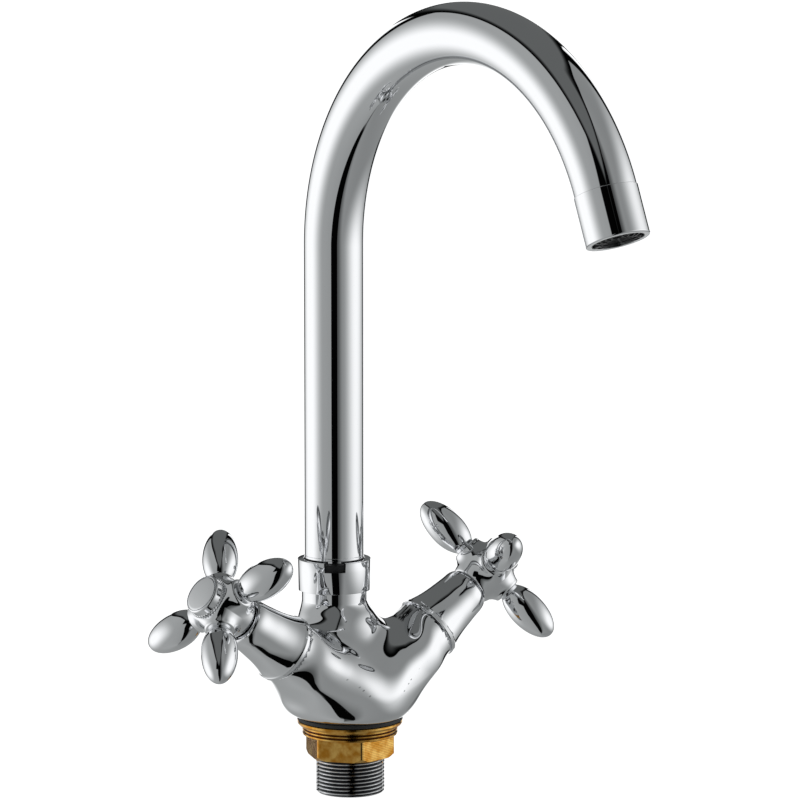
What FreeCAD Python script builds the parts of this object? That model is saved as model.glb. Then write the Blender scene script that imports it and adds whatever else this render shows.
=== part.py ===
import FreeCAD, Part
import math
import os

# Kitchen mixer tap with a swinging swan-neck spout and two inclined ceramic-disc valves.
# Millimetres. The origin is the centre of the round foot on the sink surface, +Z is up,
# the spout points to -Y, the hot valve leans to -X and the cold valve to +X.

Vector = FreeCAD.Vector
Z_AXIS = Vector(0, 0, 1)
Y_AXIS = Vector(0, 1, 0)
ORIGIN = Vector(0, 0, 0)
CENTRE = 0.0

# Driving sizes of the body
arm_lean = 34.0             # angle of each valve axis above the sink, degrees
arm_origin_y = -4.5         # both valve axes lie in this plane
arm_origin_z = 9.5          # height where the two valve axes cross
arm_length = 42.0           # from the crossing of the axes to the arm's end face
arm_end_radius = 13.6
# Sections of the body in planes that fan out from a line above the crotch: the plane's angle
# from the upright, half width, height above and depth below the valve axes, middle's place in Y
middle_section = (20.0, 17.4, 22.8, -6.0)
arm_sections = ((10.2, 18.8, 14.8, 20.8, -5.0), (19.0, 17.5, 12.8, 18.8, -4.5),
                (27.0, 16.0, 12.8, 16.7, -4.5))
section_points = 24
column_y = 10.5             # spout column stands behind the foot's centre
neck_radius = 13.25
neck_shoulder_z = 46.8      # fine line round the neck
neck_line_depth = 0.25
neck_line_width = 0.5
neck_top_z = 58.5
neck_thread_z = 51.4
neck_bore_z = 35.0
neck_straight_z = 46.3      # the neck is a plain cylinder above this height
foot_radius = 21.3
# Round bowl that the body's underside follows above the foot: radius, height
underside = ((24.4, 2.7), (26.9, 4.5), (29.0, 7.0), (31.0, 10.0), (34.5, 14.0), (42.5, 20.0),
             (56.0, 30.0))
# Bell from the neck down to the foot: height, half width, reach to the front, reach to the back
bell = ((8.0, 34.5, 20.0, 21.8), (20.0, 28.0, 19.6, 22.9), (31.0, 21.5, 12.2, 23.5),
        (38.0, 17.8, 8.3, 23.7), (43.0, 15.2, 5.5, 23.75))
bell_trim = 0.3             # the bell is drawn this much too long and cut flat at the foot
mixing_bore_radius = 3.5
mixing_bore_rise = 6.0      # the mixing bore starts this far above the valve's seat
mixing_bore_x = 3.0
mixing_bore_z = 37.0
stock = 100.0               # height up to which the bowl's solid reaches

# Driving sizes of the foot: seal, shank and mounting nut
seal_thickness = 1.5
seal_overhang = 0.1
shank_radius = 14.0         # thread M28 x 1.5
shank_pitch = 1.5
shank_thread_depth = 0.92
shank_crest_relief = 0.2    # above the nut's lower face the crests stand this much lower
shank_bore_radius = 11.6
shank_end_z = -29.5
shank_thread_start_z = -0.6
shank_socket_z = 8.0
# Thread ring of the shank: share of the pitch, share of the thread's depth
thread_profile = ((0.05, 1.0), (0.45, 0.0), (0.60, 0.0), (1.0, 1.0))
port_radius = 5.0           # hose threads M10 x 1
port_spacing = 12.0
port_y = -1.5
port_top_z = 14.5
feed_radius = 3.5           # bore from the hose port up to the valve's seat
feed_top_z = 19.0
nut_top_gap = 0.3
nut_flange_radius = 21.1
nut_step_radius = 19.1
nut_flange_height = 1.7
nut_step_height = 4.0
nut_height = 14.4
nut_across_flats = 32.0
nut_chamfer = 1.6
nut_turn = 9.0              # a corner of the hexagon is turned this far from +X
nut_groove_depth = 0.35
nut_groove_width = 0.5
nut_groove_shares = (0.28, 0.62)        # places of the grooves down the step

# Driving sizes of the spout
tube_radius = 12.0
tube_wall = 1.2
tube_foot_z = 65.6
tube_foot_chamfer = 0.3
bend_radius = 87.7
bend_centre_z = 190.6
bend_angle = 157.5
outlet_length = 19.0
outlet_step = 0.3           # the outlet's sleeve stands this far out of the tube
outlet_wall = 1.3
outlet_lip = 1.4
outlet_lip_width = 2.3
outlet_chamfer = 0.5
bush_spigot_clear = 0.5     # the tube still bends round the spigot
bush_spigot_length = 5.0
bush_length = 6.0
bush_wall = 1.5
aerator_seal_thickness = 1.5
screen_thickness = 0.6
screen_hole_radius = 0.75
screen_holes = ((1, 0.0), (6, 2.6), (12, 5.2), (18, 7.8))   # number of holes, circle's radius
lattice_thickness = 2.0
lattice_rib = 0.6
lattice_spokes = 8
lattice_rings = (2.2, 4.4, 6.6, 8.4)
insert_wall = 1.1

# Driving sizes of the swivel
collar_wall = 1.45
collar_bottom_z = 51.4
collar_top_z = 64.0
collar_lip = 0.8
collar_lip_clear = 0.3      # radial gap between the collar's lip and the tube
notch_width = 8.4
notch_depth = 3.7
notch_turn = 35.0           # the notch is turned from the front towards the hot side
slide_ring_lower = 1.7
slide_ring_groove = 1.8
slide_ring_split = 2.0
slide_ring_wall = 0.7       # wall outside the stem's flange
stem_step = 1.0             # the stem is this much slimmer than the tube, and again in the neck
fitting_wall = 2.35
fitting_bottom_z = 38.0
fitting_shoulder_height = 1.2
fitting_spigot_length = 9.0
spout_oring_section = 0.9   # radius of the ring's round section
spout_oring_levels = (42.5, 50.0)
oring_groove_half = 1.3     # half width of a ring's groove, in ring section radii

# Driving sizes of the valves: depths below the arm's end face, rises past it
seat_depth = 24.0
seat_bore_radius = 4.0
seat_bore_bottom = 12.0     # from the crossing of the axes
chamber_step = 1.15         # the chamber is narrower than the thread above it
chamber_depth = 11.5        # the valve's thread reaches down to this depth
valve_thread_radius = 10.45     # thread G1/2
mouth_step = 0.55           # the mouth is wider than the thread below it
mouth_depth = 1.7
nose_clear = 1.0            # gap round the housing's nose
nose_wall = 1.0
nose_gap = 1.0              # the housing's nose stops this short of the seat
window_width = 8.0
window_height = 3.0
seat_seal_thickness = 2.8
seat_seal_bore = 5.6
disc_thickness = 2.5
disc_hole_inner = 1.6
disc_hole_outer = 5.4
disc_hole_half_angle = 78.0
moving_disc_web = 2.6       # radius of the core left in the moving disc
key_width = 3.0
key_depth = 1.0
driver_thickness = 2.3
spindle_radius = 5.0
spindle_step_rise = 4.3
spindle_neck_radius = 4.0
spindle_end_rise = 32.0
spline_rise = 19.6
spline_teeth = 20
spline_depth = 0.35
spindle_oring_section = 0.6
spindle_oring_depths = (6.0, 1.5)
housing_flange_overlap = 0.9    # the flange covers the arm's end this far past the mouth
housing_flange_height = 2.2
housing_across_flats = 17.0
housing_hex_height = 5.8
bonnet_thread_radius = 9.0
bonnet_thread_length = 6.6
housing_neck_radius = 6.2
housing_end_rise = 18.0
housing_oring_section = 0.75
circlip_radius = 6.0
circlip_thickness = 0.9
circlip_groove_depth = 0.7
circlip_opening = 3.2
circlip_stand = 0.4         # from the housing's end to the ring

# Driving sizes of the bonnets: distance past the arm's end and radius of the outside
bonnet_outline = ((0.0, 13.7), (0.5, 14.05), (2.0, 14.05), (2.7, 13.7), (5.2, 12.8), (8.2, 12.05),
                  (11.5, 11.45), (15.0, 11.0), (20.0, 10.45), (24.0, 9.95), (25.2, 9.55), (25.6, 8.9))
bonnet_flange_clear = 0.2
bonnet_mouth_depth = 3.2
bonnet_hex_clear = 0.9
bonnet_bore_radius = 7.8
bonnet_thread_inset = 0.6   # the bonnet's own thread starts this far up the housing's
bonnet_thread_spare = 0.4   # and runs this far past it

# Driving sizes of the handles: rises past the arm's end face, lengths on from the lobes' plane
lobe_plane_rise = 38.0
lobe_reach = 37.5
lobe_radius = 7.3
lobe_widest = 23.2
lobe_root = 13.0
lobe_root_radius = 4.3
lobe_neck_radius = 4.0      # plain neck between boss and lobe
lobe_points = 12
boss_radius = 5.9
boss_end = 12.5
lobe_count = 4
hot_turn = 38.0             # rest position of the hot handle about its axis
cold_turn = -32.5           # rest position of the cold handle about its axis
hub_outline = ((-11.3, 8.4), (-10.4, 8.9), (-8.0, 9.8), (-5.0, 10.8), (-2.0, 11.3),
               (1.0, 11.2), (4.0, 10.3), (6.2, 8.9))
sleeve_radius = 7.2
sleeve_rise = 20.4
handle_web_rise = 32.6
handle_web = 3.4
screw_well_radius = 5.0
button_recess_radius = 6.6
button_recess_depth = 3.7
screw_head_radius = 3.6
screw_head_height = 2.6
screw_radius = 2.0          # thread M4
screw_length = 12.0
screw_socket_flats = 2.5
screw_socket_depth = 1.5
screw_hole_spare = 1.0
button_rim_radius = 8.7
button_rim_height = 1.2
button_rim_teeth = 40
button_tooth_depth = 0.35
button_skirt_radius = 8.2
button_face_radius = 7.6
button_face_chamfer = 0.6
button_wall = 1.3
button_height = 4.4
# Crown of the button's face: share of the face's radius, share of the crown's height
button_crown_outline = ((1.0, 0.0), (0.84, 0.25), (0.5, 0.8), (0.0, 1.0))
button_crown = 0.4
button_stem_length = 3.2

# Named clearances
fit_running = 0.05          # between a turning piece and its bore, radial
fit_thrust = 0.08           # between a turning piece and the face beside it
fit_oring = 0.02            # between a ring's crown and the bore it seals
fit_screwed = 0.05          # radial gap in a screwed joint drawn without its thread
fit_seated = 0.1            # radial gap of a piece that sits still in its place
fit_screw_hole = 0.2        # radial gap round the handle screw in the handle
fit_end = 0.3               # end play of a screwed-in piece at its shoulder
overshoot = 1.0             # cutters run this far past the metal they cut

# Sizes that follow from the ones above
arm_angle = math.radians(arm_lean)
arm_tilt = 90.0 - arm_lean
arm_end_x = arm_length * math.cos(arm_angle)
arm_end_z = arm_origin_z + arm_length * math.sin(arm_angle)
fan_z = arm_end_z + arm_end_x / math.tan(arm_angle)
neck_spigot_radius = neck_radius - fit_screwed
fitting_stem_radius = tube_radius - stem_step
neck_bore_radius = fitting_stem_radius - stem_step
stem_radius = neck_bore_radius - fit_running
fitting_bore_radius = stem_radius - fitting_wall
ring_outer = neck_radius - fit_seated
flange_radius = ring_outer - slide_ring_wall - fit_running
collar_radius = neck_radius + collar_wall
collar_lip_radius = tube_radius + collar_lip_clear
shank_blank_radius = shank_radius - shank_crest_relief
shank_seat_radius = shank_blank_radius + fit_seated
nut_top = -nut_top_gap
nut_bottom = nut_top - nut_height
tube_bore_radius = tube_radius - tube_wall
outlet_radius = tube_radius + outlet_step
outlet_bore = outlet_radius - outlet_wall
outlet_lip_radius = outlet_radius - outlet_lip_width
bush_spigot_radius = tube_bore_radius - bush_spigot_clear
bush_bore_radius = bush_spigot_radius - bush_wall
seal_radius = foot_radius - seal_overhang
chamber_radius = valve_thread_radius - chamber_step
mouth_radius = valve_thread_radius + mouth_step
nose_radius = chamber_radius - nose_clear
nose_bore_radius = nose_radius - nose_wall
disc_radius = nose_bore_radius - fit_seated
housing_flange_radius = mouth_radius + housing_flange_overlap
bonnet_mouth_radius = housing_flange_radius + bonnet_flange_clear
seat_level = arm_length - seat_depth
chamber_end = arm_length - chamber_depth
mixing_bore_start = seat_level + mixing_bore_rise
spindle_step = arm_length + spindle_step_rise
spindle_end = arm_length + spindle_end_rise
spindle_oring_levels = [arm_length - depth for depth in spindle_oring_depths]
spline_start = arm_length + spline_rise
spline_pitch = 360.0 / spline_teeth
housing_end = arm_length + housing_end_rise
lobe_plane = arm_length + lobe_plane_rise
sleeve_start = arm_length + sleeve_rise
handle_web_start = arm_length + handle_web_rise
housing_hex_start = arm_length + housing_flange_height
bonnet_thread_start = housing_hex_start + housing_hex_height
bonnet_thread_end = bonnet_thread_start + bonnet_thread_length
screw_seat = handle_web_start + handle_web
hub_front = lobe_plane + hub_outline[-1][0]


def turned(points):
    """Solid of revolution about Z through a closed outline of (radius, height) points."""
    outline = [Vector(r, CENTRE, z) for r, z in points]
    outline.append(outline[0])
    face = Part.Face(Part.makePolygon(outline))
    return face.revolve(ORIGIN, Z_AXIS, 360)


def ring(outer, inner, bottom, top):
    """Plain ring between two heights."""
    return turned([(inner, bottom), (outer, bottom), (outer, top), (inner, top)])


def disc(radius, bottom, top):
    """Plain disc between two heights."""
    return Part.makeCylinder(radius, top - bottom, Vector(CENTRE, CENTRE, bottom))


def round_ring(bore, section, level):
    """O-ring: its crown touches the given bore but for the ring's fit."""
    centre_radius = bore - fit_oring - section
    return Part.makeTorus(centre_radius, section, Vector(CENTRE, CENTRE, level))


def corner_radius(across_flats):
    """Distance of a hexagon's corners from its axis."""
    return across_flats / 2 / math.cos(math.pi / 6)


def hexagon(across_flats, bottom, top):
    """Hexagonal prism about Z."""
    corner = corner_radius(across_flats)
    corners = []
    for i in range(7):
        turn = math.pi / 3 * i
        corners.append(Vector(corner * math.cos(turn), corner * math.sin(turn), bottom))
    face = Part.Face(Part.makePolygon(corners))
    return face.extrude(Vector(CENTRE, CENTRE, top - bottom))


def toothed(outer, depth, teeth, bottom, top):
    """Prism about Z with pointed teeth, for a spline or a knurled rim."""
    corners = []
    for i in range(2 * teeth + 1):
        turn = math.pi * i / teeth
        radius = outer - depth * (i % 2)
        corners.append(Vector(radius * math.cos(turn), radius * math.sin(turn), bottom))
    face = Part.Face(Part.makePolygon(corners))
    return face.extrude(Vector(CENTRE, CENTRE, top - bottom))


def smooth_turned(outline, closing):
    """Solid of revolution whose outside runs smoothly through the outline points."""
    curve = Part.BSplineCurve()
    curve.interpolate([Vector(r, CENTRE, z) for r, z in outline])
    ends = [Vector(r, CENTRE, z) for r, z in [outline[-1]] + closing + [outline[0]]]
    face = Part.Face(Part.Wire([curve.toShape()] + Part.makePolygon(ends).Edges))
    return face.revolve(ORIGIN, Z_AXIS, 360)


def on_arm(shape, side, turn=0.0):
    """Piece drawn along Z, turned about it and laid on the hot (-1) or cold (+1) valve axis."""
    placed = shape.copy()
    placed.rotate(ORIGIN, Z_AXIS, turn)
    placed.rotate(ORIGIN, Y_AXIS, side * arm_tilt)
    placed.translate(Vector(CENTRE, arm_origin_y, arm_origin_z))
    return placed


def at_column(shape):
    """Piece drawn along Z, moved to the spout's column axis."""
    placed = shape.copy()
    placed.translate(Vector(CENTRE, column_y, CENTRE))
    return placed


def at_outlet(shape):
    """Piece drawn along Z as the way of the water, laid on the outlet's axis."""
    placed = shape.copy()
    bend = math.radians(bend_angle)
    placed.rotate(ORIGIN, Vector(1, 0, 0), bend_angle)
    end_y = column_y - bend_radius * (1.0 - math.cos(bend))
    end_z = bend_centre_z + bend_radius * math.sin(bend)
    placed.translate(Vector(CENTRE, end_y, end_z))
    return placed


def oval(middle, across, up, half_width, upper, lower):
    """Closed smooth curve of two half ellipses round a middle point, in the plane of the
    directions across and up. All ovals share their knots."""
    points = []
    for i in range(section_points):
        turn = 2.0 * math.pi * i / section_points
        height = lower if math.cos(turn) > 0 else upper
        points.append(middle + across * (half_width * math.sin(turn)) - up * (height * math.cos(turn)))
    curve = Part.BSplineCurve()
    curve.interpolate(Points=points, PeriodicFlag=True, Parameters=list(range(section_points + 1)))
    return curve


def body_section(angle, half_width, upper, lower, place_y):
    """Closed section of the body in a plane of the fan through the line above the crotch."""
    slope = math.radians(angle)
    lean = abs(slope)
    along = (fan_z - arm_origin_z) / (math.sin(arm_angle) + math.cos(arm_angle) / math.tan(lean)) \
        if lean > 0 else CENTRE
    reach = (fan_z - arm_origin_z - along * math.sin(arm_angle)) / math.cos(lean)
    up = Vector(-math.sin(slope), CENTRE, math.cos(slope))
    middle = Vector(CENTRE, place_y, fan_z) - up * reach
    return oval(middle, Y_AXIS, up, half_width, upper, lower)


def bell_section(level, half_width, front, back):
    """Level oval section of the bell."""
    middle = Vector(CENTRE, (back - front) / 2, level)
    return oval(middle, Vector(1, 0, 0), Y_AXIS, half_width, (back + front) / 2, (back + front) / 2)


def skinned(sections, places):
    """Solid whose surface runs smoothly through closed sections that share their knots. The
    places say how far apart the sections count."""
    lines = []
    for pole in range(1, sections[0].NbPoles + 1):
        line = Part.BSplineCurve()
        line.interpolate(Points=[section.getPole(pole) for section in sections], Parameters=places)
        lines.append(line)
    poles = [[line.getPole(row) for line in lines] for row in range(1, lines[0].NbPoles + 1)]
    surface = Part.BSplineSurface()
    surface.buildFromPolesMultsKnots(poles, lines[0].getMultiplicities(), sections[0].getMultiplicities(),
                                     lines[0].getKnots(), sections[0].getKnots(), False, True,
                                     lines[0].Degree, sections[0].Degree)
    faces = [surface.toShape()]
    for place in (places[0], places[-1]):
        faces.append(Part.Face(Part.Wire(surface.uIso(place).toShape())))
    shell = Part.makeShell(faces)
    shell.sewShape()
    solid = Part.makeSolid(Part.Shell(shell.Faces))
    if solid.Volume < 0:
        solid.reverse()
    return solid


os.makedirs("parts", exist_ok=True)

# Mixer body: both arms are one smooth loft, a bell runs from the neck down to the foot behind it,
# and a round bowl limits both towards the foot
right_half = list(arm_sections) + [(arm_lean, arm_end_radius, arm_end_radius, arm_end_radius, arm_origin_y)]
left_half = [(-row[0],) + row[1:] for row in reversed(right_half)]
rows = left_half + [(CENTRE,) + middle_section] + right_half
arms = skinned([body_section(*row) for row in rows], [row[0] for row in rows])
foot = (seal_thickness - bell_trim, foot_radius, foot_radius, foot_radius)
top = (neck_straight_z, neck_radius, neck_radius - column_y, neck_radius + column_y)
rows = (foot,) + bell + (top,)
places = [CENTRE]
for lower_row, upper_row in zip(rows, rows[1:]):
    places.append(places[-1] + math.hypot(upper_row[0] - lower_row[0], upper_row[1] - lower_row[1]))
back = skinned([bell_section(*row) for row in rows], places)
bowl = smooth_turned([(foot_radius, seal_thickness)] + list(underside),
                     [(underside[-1][0], stock), (CENTRE, stock), (CENTRE, seal_thickness)])
neck = turned([(CENTRE, neck_straight_z - neck_line_width),
               (neck_radius - neck_line_depth, neck_straight_z - neck_line_width),
               (neck_radius - neck_line_depth, neck_shoulder_z),
               (neck_radius, neck_shoulder_z), (neck_radius, neck_thread_z),
               (neck_spigot_radius, neck_thread_z), (neck_spigot_radius, neck_top_z),
               (CENTRE, neck_top_z)])
body = arms.fuse([back, at_column(neck)]).common(bowl)
body = body.cut(at_column(disc(neck_bore_radius, neck_bore_z, neck_top_z + overshoot)))
body = body.cut(disc(shank_seat_radius, CENTRE, shank_socket_z))
for side in (-1, 1):
    valve_room = disc(seat_bore_radius, seat_bore_bottom, seat_level + overshoot)
    valve_room = valve_room.fuse(disc(chamber_radius, seat_level, chamber_end))
    valve_room = valve_room.fuse(disc(valve_thread_radius + fit_screwed, chamber_end, arm_length))
    valve_room = valve_room.fuse(disc(mouth_radius, arm_length - mouth_depth, arm_length + overshoot))
    body = body.cut(on_arm(valve_room, side))
    port_x = side * port_spacing / 2
    port = disc(port_radius, shank_socket_z - overshoot, port_top_z)
    port = port.fuse(disc(feed_radius, port_top_z - overshoot, feed_top_z))
    port.translate(Vector(port_x, port_y, CENTRE))
    body = body.cut(port)
    start = Vector(side * mixing_bore_start * math.cos(arm_angle), arm_origin_y,
                   arm_origin_z + mixing_bore_start * math.sin(arm_angle))
    end = Vector(side * mixing_bore_x, column_y, mixing_bore_z)
    way = end - start
    body = body.cut(Part.makeCylinder(mixing_bore_radius, way.Length, start, way))
body.exportStep("parts/mixer_body.step")

# Base seal: rubber ring between foot and sink
seal = ring(seal_radius, shank_seat_radius + fit_seated, CENTRE, seal_thickness)
seal.exportStep("parts/base_seal.step")

# Threaded shank: hollow tube with a fine outer thread, screwed up into the foot
thread_count = int((shank_thread_start_z - shank_end_z) / shank_pitch) - 1
shank_outline = [(shank_bore_radius, shank_end_z), (shank_radius - shank_thread_depth, shank_end_z)]
for i in range(thread_count):
    thread_start = shank_end_z + shank_pitch * (i + 0.5)
    crest_radius = shank_radius if thread_start < nut_bottom - shank_pitch / 2 else shank_blank_radius
    root_radius = shank_radius - shank_thread_depth
    for rise, depth in thread_profile:
        radius = crest_radius + depth * (root_radius - crest_radius)
        shank_outline.append((radius, thread_start + rise * shank_pitch))
shank_outline.append((shank_radius - shank_thread_depth, shank_thread_start_z))
shank_outline.append((shank_blank_radius, shank_thread_start_z))
shank_outline.append((shank_blank_radius, shank_socket_z))
shank_outline.append((shank_bore_radius, shank_socket_z))
shank = turned(shank_outline)
shank.exportStep("parts/threaded_shank.step")

# Mounting nut: brass, round stepped flange above a hexagon
flange_bottom = nut_top - nut_flange_height
step_bottom = flange_bottom - nut_step_height
nut_bore = shank_radius + fit_running
nut = ring(nut_flange_radius, nut_bore, flange_bottom, nut_top)
nut = nut.fuse(ring(nut_step_radius, nut_bore, step_bottom, flange_bottom))
corner = corner_radius(nut_across_flats)
hex_part = hexagon(nut_across_flats, nut_bottom, step_bottom)
corner_cut = turned([(CENTRE, nut_bottom), (corner - nut_chamfer, nut_bottom),
                     (corner + overshoot, nut_bottom + nut_chamfer + overshoot),
                     (corner + overshoot, step_bottom),
                     (CENTRE, step_bottom)])
hex_part = hex_part.common(corner_cut)
hex_part = hex_part.cut(disc(nut_bore, nut_bottom - overshoot, step_bottom + overshoot))
hex_part.rotate(ORIGIN, Z_AXIS, nut_turn)
nut = nut.fuse(hex_part)
for share in nut_groove_shares:
    level = flange_bottom - share * nut_step_height
    groove = ring(nut_step_radius + overshoot, nut_step_radius - nut_groove_depth,
                  level - nut_groove_width, level)
    nut = nut.cut(groove)
nut = nut.removeSplitter()
nut.exportStep("parts/mounting_nut.step")

# Spout end fitting: turned stem that swivels in the neck, with a flange held by the slide ring
ring_bottom = neck_top_z
flange_bottom_z = ring_bottom + slide_ring_lower + fit_thrust
flange_top_z = ring_bottom + slide_ring_lower + slide_ring_groove - fit_thrust
shoulder_bottom = tube_foot_z - fitting_shoulder_height
fitting = turned([(fitting_bore_radius, fitting_bottom_z), (stem_radius, fitting_bottom_z),
                  (stem_radius, ring_bottom + fit_thrust),
                  (fitting_stem_radius, ring_bottom + fit_thrust),
                  (fitting_stem_radius, flange_bottom_z), (flange_radius, flange_bottom_z),
                  (flange_radius, flange_top_z), (fitting_stem_radius, flange_top_z),
                  (fitting_stem_radius, shoulder_bottom), (tube_radius, shoulder_bottom),
                  (tube_radius, tube_foot_z - tube_foot_chamfer),
                  (tube_radius - tube_foot_chamfer, tube_foot_z),
                  (tube_bore_radius - fit_seated, tube_foot_z),
                  (tube_bore_radius - fit_seated, tube_foot_z + fitting_spigot_length),
                  (fitting_bore_radius, tube_foot_z + fitting_spigot_length)])
for level in spout_oring_levels:
    groove_radius = neck_bore_radius - 2 * spout_oring_section - fit_seated
    half_width = oring_groove_half * spout_oring_section
    fitting = fitting.cut(ring(neck_bore_radius + overshoot, groove_radius, level - half_width,
                               level + half_width))
at_column(fitting).exportStep("parts/spout_end_fitting.step")

# Spout O-rings: two rings in the stem's grooves
for name, level in zip(("lower", "upper"), spout_oring_levels):
    spout_oring = at_column(round_ring(neck_bore_radius, spout_oring_section, level))
    spout_oring.exportStep("parts/spout_oring_" + name + ".step")

# Slide ring: split black ring on the neck's end, in which the stem's flange turns
ring_top = collar_top_z - collar_lip
slide_bore = fitting_stem_radius + fit_running
groove_bottom = ring_bottom + slide_ring_lower
groove_top = groove_bottom + slide_ring_groove
slide_ring = turned([(slide_bore, ring_bottom), (ring_outer, ring_bottom), (ring_outer, ring_top),
                     (slide_bore, ring_top), (slide_bore, groove_top),
                     (flange_radius + fit_running, groove_top),
                     (flange_radius + fit_running, groove_bottom), (slide_bore, groove_bottom)])
split = Part.makeBox(slide_ring_split, neck_radius, ring_top - ring_bottom,
                     Vector(-slide_ring_split / 2, 0, ring_bottom))
at_column(slide_ring.cut(split)).exportStep("parts/slide_ring.step")

# Spout nut: chromed collar screwed on the neck, its lip holds the slide ring down
spout_nut = turned([(neck_radius, collar_bottom_z), (collar_radius, collar_bottom_z),
                    (collar_radius, collar_top_z), (collar_lip_radius, collar_top_z),
                    (collar_lip_radius, ring_top), (neck_radius, ring_top)])
notch = Part.makeBox(notch_width, collar_radius, notch_depth,
                     Vector(-notch_width / 2, -collar_radius - overshoot, collar_top_z - notch_depth))
notch.rotate(ORIGIN, Z_AXIS, -notch_turn)
at_column(spout_nut.cut(notch)).exportStep("parts/spout_nut.step")

# Spout tube: straight column and one bend
bend = math.radians(bend_angle)
foot_point = Vector(0, column_y, tube_foot_z)
bend_start = Vector(0, column_y, bend_centre_z)
bend_middle = Vector(0, column_y - bend_radius * (1 - math.cos(bend / 2)),
                     bend_centre_z + bend_radius * math.sin(bend / 2))
bend_end = Vector(0, column_y - bend_radius * (1 - math.cos(bend)),
                  bend_centre_z + bend_radius * math.sin(bend))
column_line = Part.makeLine(foot_point, bend_start)
bend_arc = Part.Arc(bend_start, bend_middle, bend_end).toShape()
path = Part.Wire([column_line, bend_arc])
tube_outside = Part.Wire(Part.makeCircle(tube_radius, foot_point))
tube_inside = Part.Wire(Part.makeCircle(tube_bore_radius, foot_point))
tube = path.makePipeShell([tube_outside], True, True)
tube = tube.cut(path.makePipeShell([tube_inside], True, True))
tube.exportStep("parts/spout_tube.step")

# Outlet bush: threaded end brazed into the tube's mouth
bush = turned([(bush_bore_radius, -bush_spigot_length), (bush_spigot_radius, -bush_spigot_length),
               (bush_spigot_radius, CENTRE), (outlet_bore - fit_screwed, CENTRE),
               (outlet_bore - fit_screwed, bush_length), (bush_bore_radius, bush_length)])
at_outlet(bush).exportStep("parts/outlet_bush.step")

# Aerator housing: chromed sleeve screwed over the bush, with a lip at its mouth
lip_start = outlet_length - outlet_lip
housing = turned([(outlet_bore, fit_seated), (outlet_radius, fit_seated),
                  (outlet_radius, outlet_length - outlet_chamfer),
                  (outlet_radius - outlet_chamfer, outlet_length),
                  (outlet_lip_radius, outlet_length), (outlet_lip_radius, lip_start),
                  (outlet_bore, lip_start)])
at_outlet(housing).exportStep("parts/aerator_housing.step")

# Aerator seal: flat rubber ring between bush and screen
insert_radius = outlet_bore - fit_seated
seal_end = bush_length + aerator_seal_thickness
aerator_seal = ring(insert_radius, bush_bore_radius, bush_length, seal_end)
at_outlet(aerator_seal).exportStep("parts/aerator_seal.step")

# Aerator screen: perforated disc
screen_end = seal_end + screen_thickness
screen = disc(insert_radius, seal_end, screen_end)
for count, radius in screen_holes:
    for i in range(count):
        turn = 2.0 * math.pi * i / count
        hole = disc(screen_hole_radius, seal_end - overshoot, screen_end + overshoot)
        hole.translate(Vector(radius * math.cos(turn), radius * math.sin(turn), CENTRE))
        screen = screen.cut(hole)
at_outlet(screen).exportStep("parts/aerator_screen.step")

# Aerator insert: cup with a lattice of rings and spokes in its mouth
insert = ring(insert_radius, insert_radius - insert_wall, screen_end, lip_start)
lattice_start = lip_start - lattice_thickness
for radius in lattice_rings:
    insert = insert.fuse(ring(radius + lattice_rib / 2, radius - lattice_rib / 2, lattice_start, lip_start))
for i in range(lattice_spokes):
    spoke = Part.makeBox(insert_radius - lattice_rings[0], lattice_rib, lattice_thickness,
                         Vector(lattice_rings[0], -lattice_rib / 2, lattice_start))
    spoke.rotate(ORIGIN, Z_AXIS, 360.0 * i / lattice_spokes)
    insert = insert.fuse(spoke.common(disc(insert_radius, lattice_start, lip_start)))
insert = insert.removeSplitter()
at_outlet(insert).exportStep("parts/aerator_insert.step")

# Valve pieces are drawn along Z from the crossing of the valve axes

# Valve housing: brass headwork with a windowed nose, flange, hexagon and bonnet thread
nose_bottom = seat_level + nose_gap
fixed_disc_start = seat_level + seat_seal_thickness
moving_disc_start = fixed_disc_start + disc_thickness + fit_running
driver_start = moving_disc_start + disc_thickness
driver_end = driver_start + driver_thickness
undercut_radius = mouth_radius - 2 * housing_oring_section - 2 * fit_seated
nose_end = driver_end + fit_thrust
shaft_bore = spindle_radius + fit_running
neck_hole = spindle_neck_radius + fit_running
valve_housing = turned([(nose_bore_radius, nose_bottom), (nose_radius, nose_bottom),
                        (nose_radius, chamber_end + fit_end), (valve_thread_radius, chamber_end + fit_end),
                        (valve_thread_radius, arm_length - mouth_depth),
                        (undercut_radius, arm_length - mouth_depth), (undercut_radius, arm_length),
                        (housing_flange_radius, arm_length), (housing_flange_radius, housing_hex_start),
                        (bonnet_thread_radius - 1.0, housing_hex_start),
                        (bonnet_thread_radius - 1.0, bonnet_thread_start),
                        (bonnet_thread_radius, bonnet_thread_start),
                        (bonnet_thread_radius, bonnet_thread_end),
                        (housing_neck_radius, bonnet_thread_end), (housing_neck_radius, housing_end),
                        (neck_hole, housing_end), (neck_hole, spindle_step + fit_thrust),
                        (shaft_bore, spindle_step + fit_thrust), (shaft_bore, nose_end),
                        (nose_bore_radius, nose_end)])
valve_hex = hexagon(housing_across_flats, housing_hex_start, bonnet_thread_start)
valve_hex = valve_hex.cut(disc(shaft_bore, housing_hex_start - overshoot, bonnet_thread_start + overshoot))
valve_housing = valve_housing.fuse(valve_hex)
window = Part.makeBox(window_width, 4 * nose_radius, window_height,
                      Vector(-window_width / 2, -2 * nose_radius, moving_disc_start))
valve_housing = valve_housing.cut(window)
valve_housing = valve_housing.removeSplitter()

# Housing O-ring, seat seal and the two ceramic discs
housing_oring = Part.makeTorus(undercut_radius + fit_seated + housing_oring_section,
                               housing_oring_section,
                               Vector(0, 0, arm_length - mouth_depth / 2))
seat_seal = ring(disc_radius, seat_seal_bore, seat_level, fixed_disc_start)
fixed_disc = disc(disc_radius, fixed_disc_start, fixed_disc_start + disc_thickness)
moving_disc = disc(disc_radius, moving_disc_start, moving_disc_start + disc_thickness)


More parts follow.
